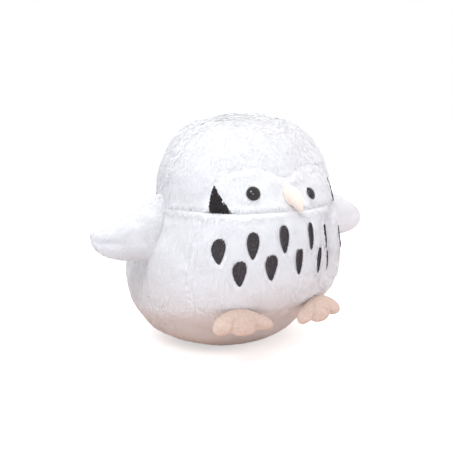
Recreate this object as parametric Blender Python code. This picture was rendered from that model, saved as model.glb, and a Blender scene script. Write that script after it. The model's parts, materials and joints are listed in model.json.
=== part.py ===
"""A stuffed owl, built as it is sewn and filled: plush panels round loose stuffing, plastic eyes on washers,
a padded beak, cloth spots, and stuffed wings and feet that swing on the seams that hold them.

Metres, +Z up. The owl looks along -Y, so its left side is +X. The origin is the middle of the flat face
that it rests on. Angles round the body are in degrees from the front, positive towards +X."""

import math

import bmesh
import bpy
from mathutils import Matrix, Vector

# The whole owl
OWL_HEIGHT = 0.210
NECK_HEIGHT = 0.133
BODY_WIDTH = 0.1912
BODY_DEPTH = 0.1936
HEAD_WIDTH_SHARE = 0.845
HEAD_WIDTH = HEAD_WIDTH_SHARE * BODY_WIDTH
HEAD_DEPTH_SHARE = 0.7025
HEAD_DEPTH = HEAD_DEPTH_SHARE * BODY_DEPTH
HEAD_LEAN = 0.0362
PLAN_POWER = 2.15

# Fabrics and clearances
PLUSH = 0.003
SHORT_PILE = 0.0014
SPOT_CLOTH = 0.0010
SEAM_GAP = 0.0003
STUFFING_GAP = 0.0012
PAD_GAP = 0.0008
CUT_OVERRUN_DEPTH = 0.002

# Side view of the form, from the middle of the resting face to the neck, and from the neck to the crown.
# Rows give height, half width, half depth and lean, as shares of the sizes above.
BODY_SHARES = (
    (0, 0, 0, 0),
    (0, 0.393, 0.372, 0),
    (0.011, 0.450, 0.424, 0),
    (0.038, 0.560, 0.504, 0),
    (0.090, 0.708, 0.615, 0),
    (0.150, 0.796, 0.676, 0),
    (0.226, 0.873, 0.728, 0.069),
    (0.301, 0.957, 0.814, 0.214),
    (0.376, 0.986, 0.901, 0.297),
    (0.466, 1.000, 0.974, 0.352),
    (0.564, 1, 1, 0.41),
    (0.662, 0.981, 0.987, 0.51),
    (0.767, 0.930, 0.939, 0.67),
    (0.872, 0.868, 0.864, 0.84),
    (0.955, 0.837, 0.790, 0.94),
)
HEAD_SHARES = (
    (0, 0.950, 1.02, 0.97),
    (0.078, 0.980, 1, 1),
    (0.221, 1, 0.921, 0.995),
    (0.351, 0.999, 0.844, 0.99),
    (0.481, 0.964, 0.782, 0.985),
    (0.610, 0.897, 0.732, 0.96),
    (0.740, 0.806, 0.656, 0.92),
    (0.844, 0.697, 0.568, 0.88),
    (0.922, 0.526, 0.418, 0.84),
    (0.974, 0.260, 0.199, 0.81),
    (1, 0, 0, 0.80),
)

# Seams, as angle and height share: of the head above the neck, or of the body below it
BROW_SHARES = (
    (45, 0.286),
    (37.5, 0.374),
    (29.5, 0.418),
    (21.5, 0.455),
    (14.5, 0.445),
    (8.5, 0.397),
    (4, 0.345),
    (0, 0.330),
)
CHEEK_OUTER_SHARES = ((52.3, 0), (52.2, 0.05), (51, 0.125), (48, 0.205), (45, 0.286))
CHEEK_INNER_SHARES = ((39, 0), (40.5, 0.05), (42.3, 0.12), (43.8, 0.20), (45, 0.286))
HEAD_SEAM_SHARES = (
    (103, 0),
    (97, 0.17),
    (92, 0.30),
    (88, 0.40),
    (84, 0.51),
    (80, 0.62),
    (72, 0.78),
    (60, 0.885),
    (45, 0.94),
    (30, 0.965),
    (15, 0.977),
    (0, 0.98),
)
BREAST_SIDE_SHARES = (
    (59.6, 1),
    (61, 0.962),
    (61.5, 0.861),
    (60.5, 0.784),
    (59, 0.70),
    (57.1, 0.589),
    (55.4, 0.496),
    (52.6, 0.438),
    (48, 0.393),
)
BASE_SEAM_SHARES = (
    (0, 0.316),
    (25, 0.325),
    (40, 0.352),
    (48, 0.393),
    (63, 0.360),
    (90, 0.338),
    (130, 0.323),
    (180, 0.316),
)
FACE_STEPS = 7
BREAST_STEPS = 10
CROWN_ROWS = 5
BACK_ROWS = 8
BASE_ROWS = 8
FRONT_NECK_ANGLES = (103, 91, 80, 69)
BACK_NECK_ANGLES = (114, 125, 136, 147, 158, 169, 180)

# Stuffing
STUFFING_SIDES = 32
PELLET_BAG_HEIGHT = 0.016

# Eyes: a domed button on a post, held behind the fabric by a washer
EYE_DIAMETER = 0.0124
EYE_DOME = 0.0050
EYE_POST_DIAMETER = 0.0032
EYE_POST_BEYOND_WASHER = 0.0020
WASHER_DIAMETER = 0.0130
WASHER_SEAT = 0.0017
WASHER_THICKNESS = 0.0015
EYE_SIDES = 20
EYE_DOME_STEPS = 4
EYE_ANGLES = {"right": -21.8, "left": 15.8}
EYE_HEIGHTS_ABOVE_NECK = {"right": 0.0144, "left": 0.0113}

# Beak: a cone whose rings turn from the face down to the tip
BEAK_WIDTH = 0.0150
BEAK_BASE_HEIGHT = 0.0190
BEAK_REACH = 0.0084
BEAK_DROP = 0.0177
BEAK_SEAT = 0.0007
BEAK_SIDES = 16
BEAK_HEIGHT_SHARE = 0.138
BEAK_RINGS_SHARES = (
    (0, 0, 1, 0),
    (0.08, 0.42, 0.97, 8),
    (0.30, 0.74, 0.80, 25),
    (0.58, 0.91, 0.54, 42),
    (0.84, 0.98, 0.26, 58),
)

# Spots: angle, height share of the body and lean of each, and the outline of one
SPOT_WIDTH = 0.0120
SPOT_HEIGHT = 0.0215
UPPER_SPOTS_SHARES = (
    (-43.5, 0.774, 19),
    (-25.5, 0.808, 9),
    (-8, 0.835, 5),
    (8, 0.835, -5),
    (25.5, 0.808, -9),
    (43.5, 0.774, -19),
)
LOWER_SPOTS_SHARES = ((-29.6, 0.639, 11), (-13.8, 0.669, 8), (0.6, 0.690, 3), (14.2, 0.672, -8), (29.6, 0.639, -11))
SPOT_OUTLINE_SHARES = (
    (0, 0.5),
    (0.5, 0.47),
    (0.85, 0.36),
    (1, 0.2),
    (0.93, 0.02),
    (0.7, -0.17),
    (0.4, -0.35),
    (0.16, -0.46),
    (0, -0.5),
)
SPOT_MIDDLE_SHARE = 0.5

# Wings: hung in a crosswise plane, drawn from the root line (0) to the tip (1) and up the chord
WING_SPAN = 0.0585
WING_CHORD_LENGTH = 0.054
WING_BOTTOM_HEIGHT = 0.088
WING_THICKNESS = 0.021
WING_FORWARD_OFFSET = 0.0320
WING_TIP_RISES = {"right": 0.0025, "left": -0.0055}
WING_HINGE_INSET = 0.0035
WING_SEAT = 0.0005
WING_RINGS = 4
WING_CENTRE_SHARES = (0.42, 0.46)
WING_ROOT_SHARES = (0.06, 0.95)
WING_OUTLINE_SHARES = (
    (0, 0.06),
    (0, 0.28),
    (0, 0.50),
    (0, 0.74),
    (0.02, 0.95),
    (0.13, 0.975),
    (0.30, 0.86),
    (0.52, 0.715),
    (0.74, 0.60),
    (0.90, 0.52),
    (0.985, 0.43),
    (1, 0.32),
    (0.93, 0.20),
    (0.80, 0.10),
    (0.58, 0.03),
    (0.34, 0),
    (0.12, 0),
)

# Feet: pads on the underside of the breast, three toes each, drawn outward and forward from the heel
FOOT_WIDTH = 0.0570
FOOT_LENGTH = 0.0215
FOOT_THICKNESS = 0.0120
FOOT_SPREADS = {"right": 0.0425, "left": 0.0315}
FOOT_SEAT_HEIGHT = 0.0525
FOOT_SEAT = 0.0008
FOOT_TILT = 64
FOOT_YAW = 8
FOOT_HINGE_INSET = 0.0020
FOOT_RINGS = 4
FOOT_CENTRE_SHARES = (0, 0.38)
FOOT_OUTLINE_SHARES = (
    (0, 0),
    (0.32, 0.01),
    (0.64, 0.10),
    (0.90, 0.30),
    (1, 0.55),
    (0.97, 0.76),
    (0.80, 0.88),
    (0.60, 0.87),
    (0.42, 0.78),
    (0.32, 0.93),
    (0.12, 1),
    (-0.12, 1),
    (-0.32, 0.93),
    (-0.41, 0.82),
    (-0.60, 0.89),
    (-0.80, 0.91),
    (-0.97, 0.81),
    (-1, 0.62),
    (-0.88, 0.42),
    (-0.62, 0.23),
    (-0.30, 0.08),
)

PILLOW_POWER = 1.2
MERGE = 0.000001
STEP = 0.0004
SHARPEST_MITRE_SHARE = 0.35


def clear_scene():
    for thing in list(bpy.data.objects):
        bpy.data.objects.remove(thing, do_unlink=True)


def material(name, colour, roughness, metallic=0.0):
    found = bpy.data.materials.get(name) or bpy.data.materials.new(name)
    found.use_nodes = True
    shader = found.node_tree.nodes["Principled BSDF"]
    shader.inputs["Base Color"].default_value = (*colour, 1)
    shader.inputs["Roughness"].default_value = roughness
    shader.inputs["Metallic"].default_value = metallic
    return found


def white_plush():
    return material("white_plush", (0.90, 0.87, 0.86), 0.95)


def black_plush():
    return material("black_plush", (0.025, 0.022, 0.022), 0.95)


def peach_plush():
    return material("peach_plush", (0.86, 0.68, 0.54), 0.90)


def stuffing_fibre():
    return material("stuffing_fibre", (0.93, 0.93, 0.92), 1.0)


def pellet_cloth():
    return material("pellet_cloth", (0.80, 0.79, 0.76), 0.90)


def black_plastic():
    return material("black_plastic", (0.012, 0.010, 0.009), 0.12)


def clear_plastic():
    return material("washer_plastic", (0.82, 0.82, 0.80), 0.40)


def form_rows():
    """Height, half width, half depth and lean of each row, in metres."""
    rows = []
    for height, width, depth, lean in BODY_SHARES:
        rows.append((height * NECK_HEIGHT, width * BODY_WIDTH / 2, depth * BODY_DEPTH / 2, lean * HEAD_LEAN))
    for height, width, depth, lean in HEAD_SHARES:
        z = NECK_HEIGHT + height * (OWL_HEIGHT - NECK_HEIGHT)
        rows.append((z, width * HEAD_WIDTH / 2, depth * HEAD_DEPTH / 2, lean * HEAD_LEAN))
    return [Vector(row) for row in rows]


def row_ways(rows):
    """How far each row lies along the side view, from the middle of the resting face."""
    ways = [0.0]
    for low, high in zip(rows, rows[1:]):
        ways.append(ways[-1] + math.hypot(high[0] - low[0], high[1] - low[1]))
    return ways


ROWS = form_rows()
WAYS = row_ways(ROWS)
TOP_WAY = WAYS[-1]
FLAT_WAY = WAYS[1]


def row_slope(i):
    """The way the rows run at row i. The crown is closed as if the rows went on down its other side."""
    if i <= 1:
        return (ROWS[i + 1] - ROWS[i]) / (WAYS[i + 1] - WAYS[i])
    before = ROWS[i - 1]
    if i == len(ROWS) - 1:
        after = Vector((before[0], -before[1], -before[2], 2 * ROWS[i][3] - before[3]))
        return (after - before) / (2 * (WAYS[i] - WAYS[i - 1]))
    return (ROWS[i + 1] - before) / (WAYS[i + 1] - WAYS[i - 1])


def form_row(way):
    """The row at a way along the side view, on a smooth curve through the rows."""
    way = min(max(way, 0.0), TOP_WAY)
    i = 0
    while i < len(ROWS) - 2 and way > WAYS[i + 1]:
        i += 1
    length = WAYS[i + 1] - WAYS[i]
    t = (way - WAYS[i]) / length
    if i == 0:
        return ROWS[0].lerp(ROWS[1], t)
    start = row_slope(i) * length
    end = row_slope(i + 1) * length
    return (
        ROWS[i] * (2 * t**3 - 3 * t**2 + 1)
        + start * (t**3 - 2 * t**2 + t)
        + ROWS[i + 1] * (3 * t**2 - 2 * t**3)
        + end * (t**3 - t**2)
    )


def way_at(height):
    """The way at which the side view, above the flat face, reaches a height."""
    low, high = FLAT_WAY, TOP_WAY
    for _ in range(40):
        middle = (low + high) / 2
        if form_row(middle)[0] < height:
            low = middle
        else:
            high = middle
    return (low + high) / 2


def head_way(share):
    return way_at(NECK_HEIGHT + share * (OWL_HEIGHT - NECK_HEIGHT))


def body_way(share):
    return way_at(share * NECK_HEIGHT)


def bare_point(angle, way):
    height, width, depth, lean = form_row(way)
    turn = math.radians(angle)
    across = math.copysign(abs(math.sin(turn)) ** (2 / PLAN_POWER), math.sin(turn))
    ahead = math.copysign(abs(math.cos(turn)) ** (2 / PLAN_POWER), math.cos(turn))
    return Vector((width * across, -lean - depth * ahead, height))


def form_normal(angle, way):
    if way < FLAT_WAY - STEP:
        return Vector((0, 0, -1))
    if way > TOP_WAY - STEP:
        return Vector((0, 0, 1))
    along = bare_point(angle + 0.5, way) - bare_point(angle - 0.5, way)
    up = bare_point(angle, way + STEP) - bare_point(angle, way - STEP)
    return along.cross(up).normalized()


def form_point(angle, way, out=0.0):
    """A point of the owl's outer surface, or out from it along its normal."""
    return bare_point(angle, way) + form_normal(angle, way) * out


def shifted(angle, way, across, up):
    """The place a small distance across and up the surface from another."""
    per_degree = (bare_point(angle + 0.5, way) - bare_point(angle - 0.5, way)).length
    per_way = (bare_point(angle, way + STEP) - bare_point(angle, way - STEP)).length / (2 * STEP)
    return angle + across / per_degree, way + up / per_way


def between(table, angle):
    """Reads a table of angle and share at an angle, in straight steps."""
    angle = abs(angle)
    for (a, share_a), (b, share_b) in zip(table, table[1:]):
        if a <= angle <= b:
            return share_a + (share_b - share_a) * (angle - a) / (b - a)
    return table[-1][1]


def resampled(points, count):
    """Count places spread evenly over a line of places."""
    out = []
    for k in range(count):
        t = k * (len(points) - 1) / (count - 1)
        i = min(int(t), len(points) - 2)
        out.append(tuple(a + (b - a) * (t - i) for a, b in zip(points[i], points[i + 1])))
    return out


def evenly(points, count):
    """Count places spread evenly, in way, over a line of places that climbs."""
    out = []
    for way in spread(points[0][1], points[-1][1], count):
        for (a, low), (b, high) in zip(points, points[1:]):
            if low <= way <= high:
                out.append((a + (b - a) * (way - low) / (high - low), way))
                break
    return out


def mirrored(points):
    """A line of places from the left side to the front, carried on to the right side."""
    return points + [(-angle, way) for angle, way in reversed(points[:-1])]


def head_line(table):
    return [(angle, head_way(share)) for angle, share in table]


def base_seam(angles):
    return [(angle, body_way(between(BASE_SEAM_SHARES, angle))) for angle in angles]


def spread(start, end, count):
    return [start + (end - start) * k / (count - 1) for k in range(count)]


def coons(bottom, top, left, right):
    """Columns of places that fill four lines. Left and right run from bottom to top."""
    columns = []
    across, up = len(bottom) - 1, len(left) - 1
    for i in range(across + 1):
        u = i / across
        column = []
        for j in range(up + 1):
            v = j / up
            place = []
            for k in (0, 1):
                edges = (1 - v) * bottom[i][k] + v * top[i][k] + (1 - u) * left[j][k] + u * right[j][k]
                low = (1 - u) * bottom[0][k] + u * bottom[-1][k]
                high = (1 - u) * top[0][k] + u * top[-1][k]
                place.append(edges - (1 - v) * low - v * high)
            column.append(tuple(place))
        columns.append(column)
    return columns


def inward_shifts(bm, normals):
    """For each vertex on the panel's edge, the step that opens half a seam gap."""
    pulls = {}
    for edge in bm.edges:
        if len(edge.link_faces) != 1:
            continue
        a, b = edge.verts
        along = (b.co - a.co).normalized()
        pull = edge.link_faces[0].calc_center_median() - (a.co + b.co) / 2
        pull -= along * pull.dot(along)
        for vert in (a, b):
            flat = pull - normals[vert] * pull.dot(normals[vert])
            pulls.setdefault(vert, []).append(flat.normalized())
    shifts = {}
    for vert, found in pulls.items():
        mitre = sum(found, Vector()).normalized()
        shifts[vert] = mitre * SEAM_GAP / 2 / max(mitre.dot(found[0]), SHARPEST_MITRE_SHARE)
    return shifts


def finish_object(name, bm, look, origin=None):
    """Makes the object, with its own origin if it moves."""
    bmesh.ops.recalc_face_normals(bm, faces=bm.faces)
    bmesh.ops.triangulate(bm, faces=bm.faces)
    mesh = bpy.data.meshes.new(name)
    bm.to_mesh(mesh)
    bm.free()
    if origin is not None:
        mesh.transform(Matrix.Translation(-origin))
    mesh.shade_smooth()
    mesh.set_sharp_from_angle(angle=math.radians(40))
    thing = bpy.data.objects.new(name, mesh)
    if origin is not None:
        thing.location = origin
    thing.data.materials.append(look)
    bpy.context.scene.collection.objects.link(thing)
    return thing


def sewn_panel(name, columns, look, outer=0.0, inner=-PLUSH, closed=False, seam=True):
    """A piece of cloth on the form, between two distances from it. Columns run from edge to edge."""
    bm = bmesh.new()
    angle_layer = bm.verts.layers.float.new("angle")
    way_layer = bm.verts.layers.float.new("way")
    grid = []
    for column in columns:
        verts = []
        for angle, way in column:
            vert = bm.verts.new(form_point(angle, way, outer))
            vert[angle_layer] = angle
            vert[way_layer] = way
            verts.append(vert)
        grid.append(verts)
    pairs = list(zip(grid, grid[1:])) + ([(grid[-1], grid[0])] if closed else [])
    for a, b in pairs:
        for j in range(len(a) - 1):
            bm.faces.new((a[j], b[j], b[j + 1], a[j + 1]))
    bmesh.ops.remove_doubles(bm, verts=bm.verts, dist=MERGE)
    normals = {v: form_normal(v[angle_layer], v[way_layer]) for v in bm.verts}
    shifts = inward_shifts(bm, normals) if seam else {}
    edges = [e for e in bm.edges if len(e.link_faces) == 1]
    faces = list(bm.faces)
    below = {}
    for vert, normal in normals.items():
        vert.co += shifts.get(vert, Vector())
        below[vert] = bm.verts.new(vert.co + normal * (inner - outer))
    for face in faces:
        bm.faces.new([below[v] for v in reversed(face.verts)])
    for edge in edges:
        a, b = edge.verts
        bm.faces.new((a, b, below[b], below[a]))
    return finish_object(name, bm, look)


def skin_rings(bm, rings, first=None, last=None):
    """Joins rings of vertices one after another, and closes an end on a point if one is given."""
    for a, b in zip(rings, rings[1:]):
        for k in range(len(a)):
            n = (k + 1) % len(a)
            bm.faces.new((a[k], a[n], b[n], b[k]))
    for ring, point in ((rings[0], first), (rings[-1], last)):
        if point is None:
            continue
        for k in range(len(ring)):
            bm.faces.new((ring[k], ring[(k + 1) % len(ring)], point))


def inset_way(angle, height, inset):
    """The way at which the form, set in from its surface, reaches a height."""
    low, high = FLAT_WAY, TOP_WAY
    for _ in range(40):
        middle = (low + high) / 2
        if form_point(angle, middle, -inset).z < height:
            low = middle
        else:
            high = middle
    return (low + high) / 2


def stuffed_form(name, low, high, look, inset):
    """A slice of the form between two heights, set in from the owl's surface on all sides."""
    bm = bmesh.new()
    angles = [360 * k / STUFFING_SIDES for k in range(STUFFING_SIDES)]
    starts = [FLAT_WAY if low == 0 else inset_way(angle, low, inset) for angle in angles]
    ends = [TOP_WAY if high == OWL_HEIGHT else inset_way(angle, high, inset) for angle in angles]
    inside = [w for w in WAYS[1:-1] if max(starts) + inset / 2 < w < min(ends) - inset / 2]
    rings = []
    for ways in (starts, *([w] * STUFFING_SIDES for w in inside), ends):
        rings.append([bm.verts.new(form_point(a, w, -inset)) for a, w in zip(angles, ways)])
    if high == OWL_HEIGHT:
        bmesh.ops.delete(bm, geom=rings.pop(), context="VERTS")
    bottom = sum((v.co for v in rings[0]), Vector()) / STUFFING_SIDES
    top = sum((v.co for v in rings[-1]), Vector()) / STUFFING_SIDES
    if low == 0:
        bottom.z = inset
    if high == OWL_HEIGHT:
        top = form_point(0, TOP_WAY, -inset)
    skin_rings(bm, rings, first=bm.verts.new(bottom), last=bm.verts.new(top))
    return finish_object(name, bm, look)


def pad_axes(origin, across, along):
    """A frame whose x runs across, y along, and z out of the pad's upper face."""
    x = across.normalized()
    z = x.cross(along).normalized()
    y = z.cross(x)
    frame = Matrix((x, y, z)).transposed().to_4x4()
    frame.translation = origin
    return frame


def pad_rings(bm, frame, outline, centre, half, inset, rings, side, lift):
    """Rings of one face of a pad, from the middle out to its edge."""
    made = []
    for j in range(1, rings + 1):
        turn = math.radians(90 * j / rings)
        ring = []
        for u, v in outline:
            reach = Vector((u - centre[0], v - centre[1]))
            reach *= (reach.length - inset) / reach.length * math.sin(turn)
            rise = (half - inset) * max(math.cos(turn), 0.0) ** PILLOW_POWER
            if j == rings:
                rise = 0.0
            spot = Vector((centre[0] + reach.x, centre[1] + reach.y, side * (rise + lift)))
            ring.append(bm.verts.new(frame @ spot))
        made.append(ring)
    middle = bm.verts.new(frame @ Vector((*centre, side * (half - inset + lift))))
    return middle, made


def pad_cover(name, frame, outline, centre, half, cloth, rings, side, look, origin):
    """One of the two cloths of a pad: a shallow bowl with its edge on the seam."""
    bm = bmesh.new()
    top, outer = pad_rings(bm, frame, outline, centre, half, 0.0, rings, side, SEAM_GAP / 2)
    bottom, inner = pad_rings(bm, frame, outline, centre, half, cloth, rings, side, SEAM_GAP / 2)
    skin_rings(bm, outer, first=top)
    skin_rings(bm, inner, first=bottom)
    skin_rings(bm, [outer[-1], inner[-1]])
    return finish_object(name, bm, look, origin)


def pad_filling(name, frame, outline, centre, half, inset, rings, look, origin):
    bm = bmesh.new()
    top, upper = pad_rings(bm, frame, outline, centre, half, inset, rings, 1, 0.0)
    bottom, lower = pad_rings(bm, frame, outline, centre, half, inset, rings, -1, 0.0)
    bmesh.ops.delete(bm, geom=lower[-1], context="VERTS")
    lower[-1] = upper[-1]
    skin_rings(bm, upper, first=top)
    skin_rings(bm, lower, first=bottom)
    return finish_object(name, bm, look, origin)


def turned_piece(bm, frame, profile, sides):
    """A round piece from radius and height pairs. A radius of zero closes an end."""
    rings = []
    ends = []
    for radius, height in profile:
        if radius == 0:
            ends.append(bm.verts.new(frame @ Vector((0, 0, height))))
            continue
        ring = []
        for k in range(sides):
            turn = 2 * math.pi * k / sides
            spot = Vector((radius * math.cos(turn), radius * math.sin(turn), height))
            ring.append(bm.verts.new(frame @ spot))
        rings.append(ring)
    skin_rings(bm, rings, first=ends[0], last=ends[1])


def cut_round(thing, frame, radius, start, end):
    """Takes a round hole out of a piece, from one height of the frame to another."""
    bm = bmesh.new()
    turned_piece(bm, frame, ((0, start), (radius, start), (radius, end), (0, end)), EYE_SIDES)
    cutter = finish_object(thing.name + "_cutter", bm, white_plush())
    cutter.hide_render = True
    cutter.display_type = "WIRE"
    cut = thing.modifiers.new("hole", "BOOLEAN")
    cut.operation = "DIFFERENCE"
    cut.solver = "EXACT"
    cut.object = cutter


def eye_frame(side):
    """Where an eye sits, its z axis out of the face."""
    angle = EYE_ANGLES[side]
    way = way_at(NECK_HEIGHT + EYE_HEIGHTS_ABOVE_NECK[side])
    out = form_normal(angle, way)
    along = Vector((0, 0, 1)) - out * out.z
    return pad_axes(form_point(angle, way), along.cross(out), along)


def make_eye(side):
    """A domed button whose post runs through the mask."""
    frame = eye_frame(side)
    dome = EYE_DIAMETER / 2
    post = EYE_POST_DIAMETER / 2
    end = -PLUSH - WASHER_SEAT - WASHER_THICKNESS - EYE_POST_BEYOND_WASHER
    profile = [(0, end), (post, end), (post, SEAM_GAP), (dome, SEAM_GAP)]
    for k in range(1, EYE_DOME_STEPS):
        turn = math.radians(90 * k / EYE_DOME_STEPS)
        profile.append((dome * math.cos(turn), SEAM_GAP + EYE_DOME * math.sin(turn)))
    profile.append((0, SEAM_GAP + EYE_DOME))
    bm = bmesh.new()
    turned_piece(bm, frame, profile, EYE_SIDES)
    finish_object("eye_" + side, bm, black_plastic())


def make_washer(side):
    frame = eye_frame(side)
    bore = EYE_POST_DIAMETER / 2 + SEAM_GAP
    rim = WASHER_DIAMETER / 2
    near = -PLUSH - WASHER_SEAT
    far = near - WASHER_THICKNESS
    bm = bmesh.new()
    rings = []
    for radius, height in ((bore, near), (rim, near), (rim, far), (bore, far), (bore, near)):
        ring = []
        for k in range(EYE_SIDES):
            turn = 2 * math.pi * k / EYE_SIDES
            spot = Vector((radius * math.cos(turn), radius * math.sin(turn), height))
            ring.append(bm.verts.new(frame @ spot))
        rings.append(ring)
    skin_rings(bm, rings)
    bmesh.ops.remove_doubles(bm, verts=bm.verts, dist=MERGE)
    finish_object("eye_washer_" + side, bm, clear_plastic())


def pierce_for_eyes(mask, filling):
    """The post's hole in the mask, and the pocket round the washer in the stuffing."""
    deep = PLUSH + WASHER_SEAT + WASHER_THICKNESS + EYE_POST_BEYOND_WASHER + SEAM_GAP
    for side in EYE_ANGLES:
        frame = eye_frame(side)
        bore, pocket = EYE_POST_DIAMETER / 2 + SEAM_GAP, WASHER_DIAMETER / 2 + SEAM_GAP
        cut_round(mask, frame, bore, -PLUSH - CUT_OVERRUN_DEPTH, CUT_OVERRUN_DEPTH)
        cut_round(filling, frame, pocket, -deep, CUT_OVERRUN_DEPTH)


def beak_frame():
    """On the face, x across, y up the face, z out of it."""
    way = head_way(BEAK_HEIGHT_SHARE)
    out = form_normal(0, way)
    up = Vector((0, 0, 1)) - out * out.z
    return pad_axes(form_point(0, way, BEAK_SEAT), up.cross(out), up)


def beak_rings(bm, frame, inset):
    """Rings from the face to the tip, set in from the beak's surface, and the tip."""
    rings = []
    for drop, reach, size, lean in BEAK_RINGS_SHARES:
        turn = math.radians(lean)
        wide = BEAK_WIDTH / 2 * size - inset
        tall = BEAK_BASE_HEIGHT / 2 * size - inset
        middle = Vector((0, -drop * (BEAK_DROP - inset), reach * (BEAK_REACH - inset / 2)))
        upward = Vector((0, math.cos(turn), math.sin(turn)))
        ring = []
        for k in range(BEAK_SIDES):
            round_ = 2 * math.pi * k / BEAK_SIDES
            spot = middle + Vector((wide * math.cos(round_), 0, 0)) + upward * (tall * math.sin(round_))
            ring.append(bm.verts.new(frame @ spot))
        rings.append(ring)
    tip = bm.verts.new(frame @ Vector((0, -BEAK_DROP + 2 * inset, BEAK_REACH - inset / 2)))
    return rings, tip


def make_beak():
    """A cloth cone, open where it is sewn to the face, over its filling."""
    frame = beak_frame()
    bm = bmesh.new()
    outer, tip = beak_rings(bm, frame, 0.0)
    inner, hollow = beak_rings(bm, frame, SHORT_PILE)
    skin_rings(bm, outer, last=tip)
    skin_rings(bm, inner, last=hollow)
    skin_rings(bm, [outer[0], inner[0]])
    finish_object("beak_cover", bm, peach_plush())
    bm = bmesh.new()
    rings, tip = beak_rings(bm, frame, SHORT_PILE + PAD_GAP)
    base = bm.verts.new(sum((v.co for v in rings[0]), Vector()) / BEAK_SIDES)
    skin_rings(bm, rings, first=base, last=tip)
    finish_object("beak_filling", bm, stuffing_fibre())


def make_spot(name, angle, share, lean):
    """A cloth drop laid on the breast, its tip swung by its lean towards the owl's left."""
    way = body_way(share)
    turn = math.radians(lean)
    right = list(SPOT_OUTLINE_SHARES)
    outline = right + [(-u, v) for u, v in reversed(right[1:-1])]
    columns = []
    for u, v in outline:
        wide, tall = u * SPOT_WIDTH / 2, v * SPOT_HEIGHT
        over, up = wide * math.cos(turn) - tall * math.sin(turn), wide * math.sin(turn) + tall * math.cos(turn)
        rim = shifted(angle, way, over, up)
        middle = tuple(c + (r - c) * SPOT_MIDDLE_SHARE for c, r in zip((angle, way), rim))
        columns.append([rim, middle, (angle, way)])
    top = SEAM_GAP + SPOT_CLOTH
    sewn_panel(name, columns, black_plush(), outer=top, inner=SEAM_GAP, closed=True, seam=False)


def make_head():
    """Crown, back of the head, face mask and the two cheek patches."""
    brow = mirrored(head_line(BROW_SHARES))
    outer = head_line(CHEEK_OUTER_SHARES)
    inner = head_line(CHEEK_INNER_SHARES)
    neck = head_way(0)
    chin = [(angle, neck) for angle in spread(inner[0][0], -inner[0][0], 2 * FACE_STEPS + 1)]
    flip = [(-angle, way) for angle, way in inner]
    mask = sewn_panel("face_mask", coons(chin, brow, inner, flip), white_plush())

    tip = [inner[-1]] * 3
    foot = [(angle, neck) for angle in spread(inner[0][0], outer[0][0], 3)]
    cheek = coons(foot, tip, inner, outer)
    sewn_panel("cheek_patch_left", cheek, black_plush())
    sewn_panel("cheek_patch_right", [[(-a, w) for a, w in column] for column in cheek], black_plush())

    low = [(angle, neck) for angle in FRONT_NECK_ANGLES] + [(BREAST_SIDE_SHARES[0][0], neck)]
    low = mirrored(low + outer[:-1] + head_line(BROW_SHARES))
    half = resampled(head_line(HEAD_SEAM_SHARES), (len(low) + 1) // 2)
    high = mirrored(half)
    columns = []
    steps = range(CROWN_ROWS + 1)
    for a, b in zip(low, high):
        columns.append([tuple(p + (q - p) * j / CROWN_ROWS for p, q in zip(a, b)) for j in steps])
    sewn_panel("crown_panel", columns, white_plush())

    behind = [(-angle, neck) for angle in BACK_NECK_ANGLES]
    behind += [(angle, neck) for angle in reversed(BACK_NECK_ANGLES[:-1])]
    columns = []
    for angle, way in high + behind:
        columns.append([(angle, w) for w in spread(way, TOP_WAY, BACK_ROWS + 1)])
    sewn_panel("head_back_panel", columns, white_plush(), closed=True)
    return mask


def make_body():
    """Breast panel, the two side panels that meet at the back, and the base panel."""
    neck = head_way(0)
    side = [(angle, body_way(share)) for angle, share in reversed(BREAST_SIDE_SHARES)]
    side = evenly(side, BREAST_STEPS + 1)
    corner, shoulder = side[0][0], side[-1][0]
    chin = CHEEK_INNER_SHARES[0][0]
    cheek = spread(CHEEK_OUTER_SHARES[0][0], chin, 3)
    top = [(a, neck) for a in [shoulder] + cheek[:-1] + spread(chin, -chin, 2 * FACE_STEPS + 1)]
    top += [(-a, neck) for a in reversed([shoulder] + cheek[:-1])]
    front = base_seam(spread(corner, -corner, len(top)))
    flip = [(-angle, way) for angle, way in side]
    sewn_panel("breast_panel", coons(front, top, side, flip), white_plush())

    over = [(a, neck) for a in [shoulder] + list(reversed(FRONT_NECK_ANGLES)) + list(BACK_NECK_ANGLES)]
    under = base_seam(spread(corner, over[-1][0], len(over)))
    back = [(over[-1][0], w) for w in spread(under[-1][1], neck, len(side))]
    panel = coons(under, over, side, back)
    sewn_panel("side_panel_left", panel, white_plush())
    sewn_panel("side_panel_right", [[(-a, w) for a, w in column] for column in panel], white_plush())

    rim = list(reversed(under)) + front[1:-1] + [(-a, w) for a, w in under[:-1]]
    columns = []
    for angle, way in rim:
        columns.append([(angle, w) for w in spread(way, FLAT_WAY, BASE_ROWS + 1)] + [(angle, 0.0)])
    sewn_panel("base_panel", columns, white_plush(), closed=True)


def make_stuffing():
    """Loose fibre in the head and the body, over a bag of pellets that keeps the owl upright."""
    inset = PLUSH + STUFFING_GAP
    stuffed_form("pellet_bag", 0, PELLET_BAG_HEIGHT, pellet_cloth(), inset)
    low = PELLET_BAG_HEIGHT + SEAM_GAP
    stuffed_form("body_filling", low, NECK_HEIGHT - SEAM_GAP / 2, stuffing_fibre(), inset)
    return stuffed_form("head_filling", NECK_HEIGHT + SEAM_GAP / 2, OWL_HEIGHT, stuffing_fibre(), inset)


def side_of_body(y, z):
    """How far out the body's side lies at a place seen from that side."""
    way = way_at(z)
    depth, lean = form_row(way)[2:]
    share = min(abs(y + lean) / depth, 1.0)
    return form_row(way)[1] * (1 - share**PLAN_POWER) ** (1 / PLAN_POWER)


def front_of_body(x, z):
    """Where the body's front lies at a place seen from the front."""
    way = way_at(z)
    _, width, depth, lean = form_row(way)
    return -lean - depth * (1 - (abs(x) / width) ** PLAN_POWER) ** (1 / PLAN_POWER)


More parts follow.
